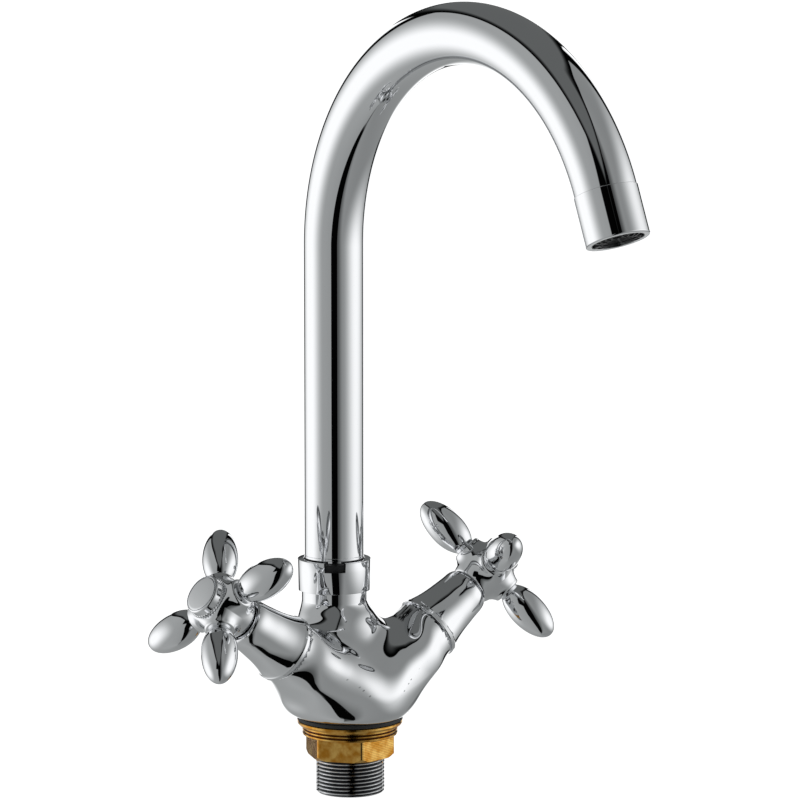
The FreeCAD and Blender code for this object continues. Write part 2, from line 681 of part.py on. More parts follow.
def disc_opening(inner, outer, start):
    """Part-ring cutter that covers the opening's angle on the +X side."""
    blank = ring(outer, inner, start - overshoot, start + disc_thickness + overshoot)
    reach = 4.0 * disc_radius
    half = math.radians(disc_hole_half_angle)
    corners = [ORIGIN, Vector(reach * math.cos(half), -reach * math.sin(half), 0),
               Vector(reach, -reach, 0), Vector(reach, reach, 0),
               Vector(reach * math.cos(half), reach * math.sin(half), 0), ORIGIN]
    wedge = Part.Face(Part.makePolygon(corners)).extrude(Vector(0, 0, disc_thickness + 2 * overshoot))
    wedge.translate(Vector(0, 0, start - overshoot))
    return blank.common(wedge)


fixed_disc = fixed_disc.cut(disc_opening(disc_hole_inner, disc_hole_outer, fixed_disc_start))
moving_opening = disc_opening(moving_disc_web, disc_radius + overshoot, moving_disc_start)
moving_opening.rotate(ORIGIN, Z_AXIS, 180)
moving_disc = moving_disc.cut(moving_opening)
slot = Part.makeBox(key_width + 2 * fit_seated, 4 * disc_radius, key_depth + fit_seated,
                    Vector(-key_width / 2 - fit_seated, -2 * disc_radius,
                           driver_start - key_depth - fit_seated))
moving_disc = moving_disc.cut(slot)

# Spindle: driver with a key for the moving disc, ringed shaft, neck and splined end
groove_bottom_radius = spindle_radius - 2 * spindle_oring_section - fit_seated
spindle = turned([(CENTRE, driver_start), (disc_radius, driver_start), (disc_radius, driver_end),
                  (spindle_radius, driver_end), (spindle_radius, spindle_step),
                  (spindle_neck_radius, spindle_step), (spindle_neck_radius, spline_start),
                  (CENTRE, spline_start)])
spindle = spindle.fuse(toothed(spindle_neck_radius, spline_depth, spline_teeth, spline_start, spindle_end))
key = Part.makeBox(key_width, 2 * disc_radius, key_depth,
                   Vector(-key_width / 2, -disc_radius, driver_start - key_depth))
spindle = spindle.fuse(key.common(disc(disc_radius, driver_start - key_depth, driver_start)))
for level in spindle_oring_levels:
    half_width = oring_groove_half * spindle_oring_section
    spindle = spindle.cut(ring(spindle_radius + overshoot, groove_bottom_radius, level - half_width,
                               level + half_width))
clip_start = housing_end + circlip_stand
clip_end = clip_start + circlip_thickness
clip_groove_radius = spindle_neck_radius - circlip_groove_depth
spindle = spindle.cut(ring(spindle_neck_radius + overshoot, clip_groove_radius,
                           clip_start - fit_running, clip_end + fit_running))
screw_hole_end = screw_seat - screw_length - screw_hole_spare
spindle = spindle.cut(disc(screw_radius + fit_screwed, screw_hole_end, spindle_end + overshoot))
spindle = spindle.removeSplitter()

# Circlip: open spring ring in the spindle's groove
circlip = ring(circlip_radius, clip_groove_radius + fit_running, clip_start, clip_end)
clip_gap = Part.makeBox(circlip_radius, circlip_opening, circlip_thickness,
                        Vector(0, -circlip_opening / 2, clip_start))
circlip = circlip.cut(clip_gap)

# Bonnet: flared chromed cover screwed on the housing, its rim on the arm's end
hex_room = corner_radius(housing_across_flats) + bonnet_hex_clear
bonnet_end = arm_length + bonnet_outline[-1][0]
inner_thread_start = bonnet_thread_start + bonnet_thread_inset
inner_thread_end = bonnet_thread_end + bonnet_thread_spare
bonnet_inside = [(bonnet_bore_radius, bonnet_end), (bonnet_bore_radius, inner_thread_end),
                 (bonnet_thread_radius + fit_screwed, inner_thread_end),
                 (bonnet_thread_radius + fit_screwed, inner_thread_start),
                 (hex_room, inner_thread_start), (hex_room, arm_length + bonnet_mouth_depth),
                 (bonnet_mouth_radius, arm_length + bonnet_mouth_depth),
                 (bonnet_mouth_radius, arm_length)]
rim = [(r, arm_length + l) for l, r in bonnet_outline[:4]]
flared = [(r, arm_length + l) for l, r in bonnet_outline[3:]]
flared_curve = Part.BSplineCurve()
flared_curve.interpolate([Vector(r, 0, z) for r, z in flared])
rim_edges = Part.makePolygon([Vector(r, 0, z) for r, z in rim]).Edges
inside_points = [flared[-1]] + bonnet_inside + [rim[0]]
inside_edges = Part.makePolygon([Vector(r, 0, z) for r, z in inside_points]).Edges
bonnet_face = Part.Face(Part.Wire(rim_edges + [flared_curve.toShape()] + inside_edges))
bonnet = bonnet_face.revolve(ORIGIN, Z_AXIS, 360)

# Handle: bulbous hub with four rounded lobes, a sleeve into the bonnet and a recess in front
hub_points = [(r, lobe_plane + l) for l, r in hub_outline]
handle = smooth_turned(hub_points, [(CENTRE, hub_front), (CENTRE, hub_points[0][1])])
handle = handle.fuse(disc(sleeve_radius, sleeve_start, hub_points[0][1] + overshoot))
lobe_outline = []
for i in range(lobe_points + 1):
    share = i / lobe_points
    inner_half = lobe_widest - lobe_root
    outer_half = lobe_reach - lobe_widest
    reach = lobe_root + share * inner_half
    swell = math.sin(share * math.pi / 2)
    lobe_outline.append((lobe_root_radius + (lobe_radius - lobe_root_radius) * swell, reach))
for i in range(1, lobe_points + 1):
    turn = math.pi / 2 * i / lobe_points
    lobe_outline.append((lobe_radius * math.cos(turn), lobe_widest + outer_half * math.sin(turn)))
lobe = smooth_turned(lobe_outline, [(CENTRE, lobe_root)])
arm_boss = disc(boss_radius, CENTRE, boss_end)
arm_boss = arm_boss.fuse(disc(lobe_neck_radius, CENTRE, lobe_root + overshoot))
arm_boss = arm_boss.fuse(lobe)
for i in range(lobe_count):
    one = arm_boss.copy()
    one.rotate(ORIGIN, Y_AXIS, 90)
    one.rotate(ORIGIN, Z_AXIS, 360.0 * i / lobe_count)
    one.translate(Vector(0, 0, lobe_plane))
    handle = handle.fuse(one)
handle = handle.cut(toothed(spindle_neck_radius + fit_running, spline_depth, spline_teeth,
                            sleeve_start - overshoot, handle_web_start))
handle = handle.cut(disc(screw_radius + fit_screw_hole, handle_web_start - overshoot, hub_front + overshoot))
handle = handle.cut(disc(screw_well_radius, screw_seat, hub_front + overshoot))
handle = handle.cut(disc(button_recess_radius, hub_front - button_recess_depth, hub_front + overshoot))
handle = handle.removeSplitter()

# Handle screw: cylinder head with a hexagon socket
screw = disc(screw_head_radius, screw_seat, screw_seat + screw_head_height)
screw = screw.fuse(disc(screw_radius, screw_seat - screw_length, screw_seat))
screw = screw.cut(hexagon(screw_socket_flats, screw_seat + screw_head_height - screw_socket_depth,
                          screw_seat + screw_head_height + overshoot))

# Button: round cap with a knurled rim and a stem in the handle's recess, bare face
rim_end = hub_front + button_rim_height
face_level = hub_front + button_height
button = toothed(button_rim_radius, button_tooth_depth, button_rim_teeth, hub_front, rim_end)
cap_outline = [(CENTRE, rim_end), (button_skirt_radius, rim_end),
               (button_skirt_radius, face_level - button_face_chamfer)]
for spread, rise in button_crown_outline:
    cap_outline.append((spread * button_face_radius, face_level + rise * button_crown))
button = button.fuse(turned(cap_outline))
button_stem_radius = button_recess_radius - fit_seated
button = button.fuse(ring(button_stem_radius, button_stem_radius - button_wall,
                          hub_front - button_stem_length, hub_front))
button = button.removeSplitter()

# Both valves get the same pieces; only the rest turn of the handles differs. The handle sits on
# the spline at the nearest tooth, so the spindle is turned by what is left of one tooth's pitch.
for label, side, turn in (("hot", -1, hot_turn), ("cold", 1, cold_turn)):
    spindle_turn = turn - spline_pitch * round(turn / spline_pitch)
    on_arm(valve_housing, side).exportStep("parts/" + label + "_valve_housing.step")
    on_arm(housing_oring, side).exportStep("parts/" + label + "_housing_oring.step")
    on_arm(seat_seal, side).exportStep("parts/" + label + "_seat_seal.step")
    on_arm(fixed_disc, side).exportStep("parts/" + label + "_fixed_disc.step")
    on_arm(moving_disc, side, spindle_turn).exportStep("parts/" + label + "_moving_disc.step")
    on_arm(spindle, side, spindle_turn).exportStep("parts/" + label + "_spindle.step")
    for name, level in zip(("lower", "upper"), spindle_oring_levels):
        spindle_oring = round_ring(shaft_bore, spindle_oring_section, level)
        on_arm(spindle_oring, side).exportStep("parts/" + label + "_spindle_oring_" + name + ".step")
    on_arm(circlip, side, spindle_turn).exportStep("parts/" + label + "_circlip.step")
    on_arm(bonnet, side).exportStep("parts/" + label + "_bonnet.step")
    on_arm(handle, side, turn).exportStep("parts/" + label + "_handle.step")
    on_arm(screw, side, turn).exportStep("parts/" + label + "_handle_screw.step")
    on_arm(button, side, turn).exportStep("parts/" + label + "_button.step")
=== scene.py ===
import bpy
import numpy as np
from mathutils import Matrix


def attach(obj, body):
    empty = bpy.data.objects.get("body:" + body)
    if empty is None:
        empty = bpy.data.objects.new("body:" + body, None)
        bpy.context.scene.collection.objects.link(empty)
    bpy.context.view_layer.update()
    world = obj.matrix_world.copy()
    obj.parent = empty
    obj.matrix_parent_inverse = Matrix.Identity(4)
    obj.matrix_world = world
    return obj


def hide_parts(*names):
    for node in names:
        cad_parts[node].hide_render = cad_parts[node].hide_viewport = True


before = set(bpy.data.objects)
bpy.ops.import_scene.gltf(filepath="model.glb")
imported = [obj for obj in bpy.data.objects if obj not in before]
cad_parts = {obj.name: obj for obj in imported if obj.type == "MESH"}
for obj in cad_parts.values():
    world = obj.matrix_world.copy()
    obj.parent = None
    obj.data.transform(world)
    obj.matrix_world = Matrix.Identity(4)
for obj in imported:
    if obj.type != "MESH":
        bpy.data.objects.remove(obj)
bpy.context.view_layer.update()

# Threaded shank: a hollow brass tube, chrome plated, with a fine M28 x 1.5 thread cut over
# its whole free length. It is screwed up into the foot and passes through the sink's hole.
shank_radius = 14.0
shank_bore = 11.6
shank_bottom = -29.5
shank_top = 7.9
shank_columns = 96
thread_pitch = 1.5
thread_depth = 0.85
thread_start = -0.6
thread_runout = 0.8
crest_relief = 0.05
flank_slope = 3.2
crest_share = 0.2
mouth_runout = 0.7
mouth_chamfer = 0.8
chamfer_rows = 6


def linear(code):
    """Linear colour of an sRGB hex code, with full alpha."""
    parts = np.array([int(code[i:i + 2], 16) for i in (0, 2, 4)]) / 255.0
    dark = parts / 12.92
    light = ((parts + 0.055) / 1.055) ** 2.4
    return tuple(float(c) for c in np.where(parts <= 0.04045, dark, light)) + (1.0,)


def add(tree, kind, settings=None, links=None):
    """Adds a node, sets its properties or sockets by name and joins earlier outputs to its sockets."""
    made = tree.nodes.new(kind)
    for name, value in (settings or {}).items():
        if isinstance(name, str) and hasattr(made, name):
            setattr(made, name, value)
        else:
            made.inputs[name].default_value = value
    for name, output in (links or {}).items():
        tree.links.new(output, made.inputs[name])
    return made


def finish(name):
    """New material with an empty tree and its output node."""
    made = bpy.data.materials.new(name)
    made.use_nodes = True
    made.node_tree.nodes.clear()
    return made, made.node_tree, made.node_tree.nodes.new("ShaderNodeOutputMaterial")


def skin(name, points, normals=None, closed=(False, True), sharp=35.0):
    """Mesh of a grid of points in millimetres: rows down the first index, columns round the
    second. Each cell is one face. A closed direction joins its last line to its first. A row
    that shrinks to one point becomes one vertex with a fan of triangles. Given normals are kept
    as the surface's own; without them edges over the sharp angle stay sharp."""
    rows, columns = points.shape[:2]
    index = np.arange(rows * columns).reshape(rows, columns)
    pole = np.ptp(points, axis=1).max(axis=1) < 1e-6
    index[pole] = index[pole][:, :1]
    if closed[1]:
        index = np.concatenate([index, index[:, :1]], axis=1)
    if closed[0]:
        index = np.concatenate([index, index[:1]], axis=0)
    a, b, c, d = index[:-1, :-1], index[:-1, 1:], index[1:, 1:], index[1:, :-1]
    quads = np.stack([a, b, c, d], axis=-1).reshape(-1, 4)
    flat = points.reshape(-1, 3)
    if normals is not None:
        facing = np.cross(flat[quads[:, 2]] - flat[quads[:, 0]], flat[quads[:, 3]] - flat[quads[:, 1]])
        if (facing * normals.reshape(-1, 3)[quads[:, 0]]).sum() < 0:
            quads = quads[:, ::-1]
    used, quads = np.unique(quads, return_inverse=True)
    quads = quads.reshape(-1, 4)
    corners = [list(dict.fromkeys(q)) for q in quads.tolist()]
    mesh = bpy.data.meshes.new(name)
    mesh.from_pydata((flat[used] * 0.001).tolist(), [], [q for q in corners if len(q) > 2])
    mesh.polygons.foreach_set("use_smooth", [True] * len(mesh.polygons))
    if normals is None:
        mesh.set_sharp_from_angle(angle=np.radians(sharp))
    else:
        mesh.normals_split_custom_set_from_vertices(normals.reshape(-1, 3)[used].tolist())
    mesh.update()
    made = bpy.data.objects.new(name, mesh)
    bpy.context.scene.collection.objects.link(made)
    return made


def dress(piece, material, slot, body=None, *nodes):
    """Gives a piece its finish; the slot argument is not used. A new piece also gets its body and the CAD
    nodes that it stands for; a CAD node rides on its own body already."""
    piece.data.materials.clear()
    piece.data.materials.append(material)
    if nodes:
        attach(piece, body)
        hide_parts(*nodes)


# Chrome plate, polished: a mirror with a cold tint. It shows nothing of its own, only the room.
chrome, tree, end = finish("polished chrome plate")
shader = add(tree, "ShaderNodeBsdfPrincipled", {"Base Color": linear("EDEEF0"), "Metallic": 1.0,
                                                "Roughness": 0.03})
tree.links.new(shader.outputs[0], end.inputs[0])

# The thread's profile is 0 on the flat crest, 1 in the flat root and straight on the flanks. It
# winds up by one pitch a turn and runs out under the foot and at the chamfered mouth.
around = np.linspace(0, 2 * np.pi, shank_columns, endpoint=False)
heights = np.linspace(shank_bottom, shank_top, 440)
turn = (heights[:, None] / thread_pitch - around[None, :] / (2 * np.pi)) % 1.0
profile = np.clip(np.abs(turn - 0.5) * flank_slope - crest_share, 0.0, 1.0)
runout = np.clip((thread_start - heights) / thread_runout, 0, 1) \
    * np.clip((heights - shank_bottom) / mouth_runout, 0, 1)
radius = shank_radius - crest_relief - thread_depth * profile * runout[:, None]
radius[:chamfer_rows] -= np.linspace(mouth_chamfer, 0.0, chamfer_rows)[:, None]
bore = np.full((1, shank_columns), shank_bore)
radius = np.concatenate([bore, radius, bore, bore])
heights = np.concatenate([[shank_bottom], heights, [shank_top, 0.0]])
grid = np.stack([radius * np.cos(around), radius * np.sin(around),
                 np.broadcast_to(heights[:, None], radius.shape)], axis=-1)
shank = skin("shank", grid, closed=(True, True), sharp=50.0)


def from_axis(tree, place):
    """Distance of each point from the shank's axis: the length of its position laid flat."""
    flat = add(tree, "ShaderNodeVectorMath", {"operation": "MULTIPLY", 1: (1.0, 1.0, 0.0)}, {0: place})
    return add(tree, "ShaderNodeVectorMath", {"operation": "LENGTH"}, {0: flat.outputs[0]}).outputs["Value"]


# Plated thread: bright crests, and grooves painted dull grey as painted shade, the shade that lies deep in
# the thread's roots. The painted shade gives way to bright plate between these two distances from the axis,
# in metres.
groove_shade_radius = 0.0132
bright_radius = 0.01385
thread, tree, end = finish("chrome plated thread")
place = add(tree, "ShaderNodeTexCoord").outputs["Object"]
depth = add(tree, "ShaderNodeMapRange", {"From Min": groove_shade_radius, "From Max": bright_radius},
            {"Value": from_axis(tree, place)})
# Painted shade: the thread's roots are darkened to grey.
tint = add(tree, "ShaderNodeMix", {"data_type": "RGBA", 6: linear("2A2C2E"), 7: linear("EDEEF0")},
           {0: depth.outputs[0]})
shader = add(tree, "ShaderNodeBsdfPrincipled", {"Metallic": 1.0, "Roughness": 0.1},
             {"Base Color": tint.outputs[2]})
tree.links.new(shader.outputs[0], end.inputs[0])
dress(shank, thread, "chrome", "tap", "threaded_shank")

# Base seal: a flat ring of black rubber, moulded. It lies loose under the foot, round the shank,
# and is squeezed between the foot and the sink.
seal_hole = 14.0
seal_radius = 21.2
seal_height = 1.5

# Black rubber, moulded: nearly black and dull, with a faint broad sheen.
rubber, tree, end = finish("moulded black rubber")
shader = add(tree, "ShaderNodeBsdfPrincipled", {"Base Color": linear("151515"), "Roughness": 0.62,
                                                "IOR": 1.52})
tree.links.new(shader.outputs[0], end.inputs[0])


def rounded(outline, closed=True, steps=4):
    """Outline of (radius, height, rounding) rows with its corners rounded to arcs. A row with no
    rounding lies on a smooth curve and stays one point, with the mean of its neighbours' normals.
    Each arc starts a tangent length, rounding times the tangent of half the turn, before the corner."""
    outline = np.asarray(outline, float)
    corner, bend = outline[:, :2], outline[:, 2:3]
    before, after = np.roll(corner, 1, axis=0), np.roll(corner, -1, axis=0)
    if not closed:
        before[0] = corner[0] - (corner[1] - corner[0])
        after[-1] = corner[-1] + (corner[-1] - corner[-2])
    into = corner - before
    into /= np.linalg.norm(into, axis=1, keepdims=True)
    out = after - corner
    out /= np.linalg.norm(out, axis=1, keepdims=True)
    left = np.stack([-into[:, 1], into[:, 0]], axis=1)
    turn = np.arctan2((left * out).sum(1), (into * out).sum(1))[:, None]
    share = np.linspace(0, 1, steps + 1)[None, :]
    angle = turn * share
    start = corner - into * bend * np.tan(np.abs(turn) / 2)
    sweep = np.sin(np.abs(angle))[..., None] * into[:, None] \
        + (np.sign(turn) * (1 - np.cos(angle)))[..., None] * left[:, None]
    places = start[:, None] + bend[:, None] * sweep
    along = np.cos(angle)[..., None] * into[:, None] + np.sin(angle)[..., None] * left[:, None]
    outward = np.stack([along[..., 1], -along[..., 0]], axis=-1)
    smooth = (bend[:, 0] <= 0)[:, None]
    keep = np.where(smooth, np.arange(steps + 1)[None, :] == steps // 2, True)
    return places[keep], outward[keep]


def turned(name, outline, place=None, closed=True, columns=128):
    """Piece turned about its axis: each outline point (radius, height) goes round in a circle.
    place is a 3 x 3 rotation and a shift that lay the axis in the object."""
    places, outward = rounded(outline, closed)
    around = np.linspace(0, 2 * np.pi, columns, endpoint=False)
    ring = np.stack([np.cos(around), np.sin(around)], axis=1)
    upright = (len(places), columns, 1)
    grid = np.concatenate([places[:, None, :1] * ring, np.broadcast_to(places[:, None, 1:], upright)], axis=2)
    normals = np.concatenate([outward[:, None, :1] * ring, np.broadcast_to(outward[:, None, 1:], upright)],
                             axis=2)
    if place is not None:
        grid, normals = grid @ place[0].T + place[1], normals @ place[0].T
    return skin(name, grid, normals, (closed, True))


seal = turned("foot_seal", [(seal_hole, 0.0, 0.1), (seal_radius, 0.0, 0.25),
                            (seal_radius, seal_height, 0.25), (seal_hole, seal_height, 0.1)])
dress(seal, rubber, "black_rubber", "tap", "base_seal")

# Mixer body: one brass casting with two arms for the valves and a neck for the spout, ground
# smooth all over and chrome plated. Soft hollows join arms and neck, and a round bowl with a
# soft edge forms its underside above the foot.
arm_lean = np.radians(34.0)
arm_plane = -4.5
arm_cross = 9.5
arm_end = 42.0
arm_end_radius = 13.6
column_y = 10.5
neck_radius = 13.25
casting_top = 50.0
foot_level = seal_height
foot_radius = 21.3

# Arm sections stand on rays from a line above the crotch. Each row is the ray's angle in degrees,
# half the width, the reach up and down from the ray's point on the axis, and the middle's y.
fan_height = 75.12
middle_section = (20.0, 17.4, 22.8, -6.0)
arm_sections = ((10.2, 18.8, 14.8, 20.8, -5.0),
                (19.0, 17.5, 12.8, 18.8, arm_plane),
                (27.0, 16.0, 12.8, 16.7, arm_plane),
                (34.0, arm_end_radius, arm_end_radius, arm_end_radius, arm_plane),
                (37.0, arm_end_radius, 13.62, 13.62, arm_plane),
                (42.0, arm_end_radius, 13.75, 13.75, arm_plane))

# Bell and neck, in rows of height, half the width, and the reach forward and back of the object's
# middle. The bowl's rows are height and radius.
bell = ((foot_level, foot_radius, foot_radius, foot_radius),
        (8.0, 34.5, 20.0, 21.8), (20.0, 28.0, 19.6, 22.9), (31.0, 21.5, 12.2, 23.5),
        (38.0, 17.8, 8.3, 23.7), (43.0, 15.2, 5.5, 23.75),
        (47.0, neck_radius, neck_radius - column_y, neck_radius + column_y),
        (52.0, neck_radius, neck_radius - column_y, neck_radius + column_y))
underside = ((foot_level, foot_radius), (2.7, 24.4), (4.5, 26.9), (7.0, 29.0), (10.0, 31.0),
             (14.0, 34.5), (20.0, 42.5), (30.0, 56.0))
underside_slope = 0.6
underside_round = 5.0
hollow = 8.0


def through(knots, count):
    """Smooth curve through knots: a cubic in the chord length with matching bends at each knot
    and no bend at its ends, read at evenly spread places."""
    knots = np.asarray(knots, float)
    chord = np.concatenate([[0], np.cumsum(np.linalg.norm(np.diff(knots, axis=0), axis=1))])
    step = np.diff(chord)[:, None]
    slope = np.diff(knots, axis=0) / step
    system = np.eye(len(knots))
    sides = np.zeros_like(knots)
    inner = np.arange(1, len(knots) - 1)
    system[inner, inner - 1] = step[:-1, 0]
    system[inner, inner] = 2 * (step[:-1, 0] + step[1:, 0])
    system[inner, inner + 1] = step[1:, 0]
    sides[1:-1] = 6 * (slope[1:] - slope[:-1])
    bend = np.linalg.solve(system, sides)
    at = np.linspace(0, chord[-1], count)
    piece = np.clip(np.searchsorted(chord, at, side="right") - 1, 0, len(step) - 1)
    t, h = (at - chord[piece])[:, None], step[piece]
    return knots[piece] + t * (slope[piece] - h * (2 * bend[piece] + bend[piece + 1]) / 6) \
        + t ** 2 * bend[piece] / 2 + t ** 3 * (bend[piece + 1] - bend[piece]) / (6 * h)


def fan_distance(angle):
    """Distance from the line above the crotch to the valve axes in the fan's plane at an angle."""
    lean = np.radians(angle)
    along = fan_height * np.tan(lean) / (np.cos(arm_lean) + np.sin(arm_lean) * np.tan(lean))
    return np.hypot(along * np.cos(arm_lean), fan_height - along * np.sin(arm_lean))


right_half = np.array([(row[0], fan_distance(row[0])) + row[1:] for row in arm_sections])
left_half = right_half[::-1] * np.array([-1, 1, 1, 1, 1, 1])
fan = through(np.concatenate([left_half, [(0.0, fan_height) + middle_section], right_half]), 900)
bell_line = through(bell, 600)
bowl_line = through(underside, 300)


def melt(first, second, width):
    """Joined field of two solids: the smaller of both, less a quarter of the squared overlap of
    their fields within the width, so that a round hollow of that width joins them."""
    return np.minimum(first, second) - np.maximum(width - np.abs(first - second), 0) ** 2 / (4 * width)


def body_field(p):
    """Negative inside the body, positive outside. The arms are ellipses in the fan's planes, and
    the bell and neck are level ellipses whose reach changes with height. They melt into each
    other, and a round bowl with a soft edge limits both towards the foot."""
    x, y, z = p[..., 0], p[..., 1], p[..., 2]
    down = fan_height + arm_cross - z
    angle = np.degrees(np.arctan2(x, down))
    reach, side, upper, lower, middle = (np.interp(angle, fan[:, 0], fan[:, i]) for i in range(1, 6))
    depth = np.hypot(x, down) - reach
    half = np.where(depth > 0, lower, upper)
    arms = (np.hypot((y - middle) / side, depth / half) - 1) * np.minimum(side, half)
    wide, front, back = (np.interp(z, bell_line[:, 0], bell_line[:, i]) for i in range(1, 4))
    deep = (front + back) / 2
    neck = (np.hypot(x / wide, (y - (back - front) / 2) / deep) - 1) * np.minimum(wide, deep)
    bowl = (np.hypot(x, y) - np.interp(z, bowl_line[:, 0], bowl_line[:, 1])) * underside_slope
    shell = -melt(-melt(arms, neck, hollow), -bowl, underside_round)
    end = np.abs(x) * np.cos(arm_lean) + (z - arm_cross) * np.sin(arm_lean) - arm_end
    return np.maximum(np.maximum(shell, foot_level - z), np.maximum(end, z - casting_top))


def cast(field, centre, farthest, rows, columns):
    """Surface round a field, seen from a centre inside it: along each direction the distance where
    the field passes zero is found by halving, and the normal is the field's steepest rise there."""
    tip = np.linspace(0, np.pi, rows)[:, None, None]
    around = np.linspace(0, 2 * np.pi, columns, endpoint=False)[None, :, None]
    way = np.concatenate([np.sin(tip) * np.cos(around), np.sin(tip) * np.sin(around),
                          np.cos(tip) * np.ones_like(around)], axis=2)
    near, far = np.zeros(way.shape[:2]), np.full(way.shape[:2], farthest)
    for _ in range(36):
        half = (near + far) / 2
        inside = field(centre + way * half[..., None]) < 0
        near, far = np.where(inside, half, near), np.where(inside, far, half)
    grid = centre + way * near[..., None]
    grid[0], grid[-1] = grid[0, :1], grid[-1, :1]
    step = 0.02 * np.eye(3)
    normals = np.stack([field(grid + s) - field(grid - s) for s in step], axis=-1)
    normals /= np.linalg.norm(normals, axis=-1, keepdims=True)
    return grid, normals


grid, normals = cast(body_field, centre=np.array([0.0, 3.0, 17.0]), farthest=90.0, rows=260, columns=340)
body = skin("tap_body", grid, normals)
dress(body, chrome, "chrome", "tap", "mixer_body")

# Neck ring: the plain turned end of the casting above the fine line, chrome plated with it. It is
# cut down a little where the collar is screwed on.
collar_bottom = 51.4
at_column = (np.eye(3), np.array([0.0, column_y, 0.0]))
neck = turned("neck_end", [(12.0, 45.6, 0.0), (neck_radius, 46.8, 0.12), (neck_radius, 51.0, 0.1),
                           (13.2, collar_bottom, 0.05), (13.2, 58.5, 0.1), (10.0, 58.5, 0.1),
                           (10.0, 45.6, 0.0)], at_column)
dress(neck, chrome, "chrome", "tap", "mixer_body")

# Mounting nut: turned and milled from yellow brass bar and left bare, with a round flange in two
# steps, two fine grooves and a hexagon whose corners are worn. It runs on the shank's thread.
nut_flats = 32.0
nut_turn = np.radians(9.0)
nut_bottom = -14.7
nut_bore = 14.05
nut_chamfer = 1.6
nut_columns = 432
hexagon_top = -6.01
chamfer_level = -12.6
corner_worn = 0.22
worn_width = 0.02
nut_outline = np.array([(nut_bore, -0.3), (20.85, -0.3), (21.1, -0.55), (21.1, -1.2), (20.6, -1.95),
                        (19.5, -2.1), (19.1, -2.4), (19.1, -2.9), (18.6, -3.15), (18.6, -3.5),
                        (19.1, -3.75), (19.1, -4.2), (18.6, -4.45), (18.6, -4.85), (19.1, -5.1),
                        (19.1, -5.7), (18.85, -5.98)])
hex_levels = np.concatenate([[hexagon_top, -6.1], np.linspace(chamfer_level, nut_bottom, 22)])
around = nut_turn + np.linspace(0, 2 * np.pi, nut_columns, endpoint=False)
flat_turn = (around - nut_turn) % (np.pi / 3) - np.pi / 6
hexagon = nut_flats / 2 / np.cos(flat_turn)
hexagon = hexagon - corner_worn * np.exp(-((np.pi / 6 - np.abs(flat_turn)) / worn_width) ** 2)
cone = nut_flats / np.sqrt(3) - nut_chamfer + (hex_levels - nut_bottom)
radius = np.concatenate([np.repeat(nut_outline[:, :1], nut_columns, axis=1),
                         np.minimum(hexagon[None, :], cone[:, None]), np.full((1, nut_columns), nut_bore)])
heights = np.concatenate([nut_outline[:, 1], hex_levels, [nut_bottom]])[:, None]
grid = np.stack([radius * np.cos(around), radius * np.sin(around),
                 np.broadcast_to(heights, radius.shape)], axis=-1)
nut = skin("sink_nut", grid[::-1], closed=(True, True), sharp=24.0)

# Bare brass: deep yellow, softly blurred reflections. Fine turning rings, a dull grain and brown tarnish in
# spots break them up, and the flange's grooves are painted dark brown as painted shade. Sizes are in
# millimetres, the limits of the grooves and of the turned part in metres. The rings are drawn coarse, so that
# they show.
grain_size = 0.625
spot_size = 3.846
ring_pitch = 0.69813
wave_turns = 20.0
groove_top, groove_root = 0.01905, 0.0187
turned_bottom, turned_top = -0.0062, -0.0058
brass, tree, end = finish("machined yellow brass")
place = add(tree, "ShaderNodeTexCoord").outputs["Object"]
grain = add(tree, "ShaderNodeTexNoise", {"Scale": 1000 / grain_size, "Detail": 3.0}, {"Vector": place})
blotch = add(tree, "ShaderNodeTexNoise", {"Scale": 1000 / spot_size, "Detail": 2.0}, {"Vector": place})
rings = add(tree, "ShaderNodeTexWave", {"bands_direction": "Z", "Distortion": 0.6,
                                        "Scale": 1000 * 2 * np.pi / wave_turns / ring_pitch},
            {"Vector": place})
relief = add(tree, "ShaderNodeBump", {"Strength": 0.25, "Distance": 0.0001}, {"Height": grain.outputs["Fac"]})
relief = add(tree, "ShaderNodeBump", {"Strength": 0.3, "Distance": 0.0001},
             {"Height": rings.outputs["Fac"], "Normal": relief.outputs["Normal"]})
spots = add(tree, "ShaderNodeMapRange", {"From Min": 0.38, "From Max": 0.66},
            {"Value": blotch.outputs["Fac"]})
tint = add(tree, "ShaderNodeMix", {"data_type": "RGBA", 6: linear("C4862C"), 7: linear("EEC06A")},
           {0: spots.outputs[0]})
in_groove = add(tree, "ShaderNodeMapRange", {"From Min": groove_top, "From Max": groove_root},
                {"Value": from_axis(tree, place)})
parts = add(tree, "ShaderNodeSeparateXYZ", {}, {0: place})
on_flange = add(tree, "ShaderNodeMapRange", {"From Min": turned_bottom, "From Max": turned_top},
                {"Value": parts.outputs[2]})
# Painted shade: the flange's grooves are darkened to dark brown.
groove_shade = add(tree, "ShaderNodeMath", {"operation": "MULTIPLY"},
           {0: in_groove.outputs[0], 1: on_flange.outputs[0]})
tint = add(tree, "ShaderNodeMix", {"data_type": "RGBA", 7: linear("5A3216")},
           {0: groove_shade.outputs[0], 6: tint.outputs[2]})
shader = add(tree, "ShaderNodeBsdfPrincipled", {"Metallic": 1.0, "Roughness": 0.22},
             {"Base Color": tint.outputs[2], "Normal": relief.outputs["Normal"]})
tree.links.new(shader.outputs[0], end.inputs[0])
dress(nut, brass, "brass", "nut", "mounting_nut")

# Slide ring: a split ring of black acetal, moulded. It stands on the neck's end, the flange of the
# spout's end fitting turns in it, and it is seen only through the collar's notch. The acetal is
# black with a soft, waxy gloss.
plastic, tree, end = finish("moulded black acetal")
shader = add(tree, "ShaderNodeBsdfPrincipled", {"Base Color": linear("141516"), "Roughness": 0.42,
                                                "IOR": 1.48})
tree.links.new(shader.outputs[0], end.inputs[0])
dress(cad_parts["slide_ring"], plastic, "black_plastic")

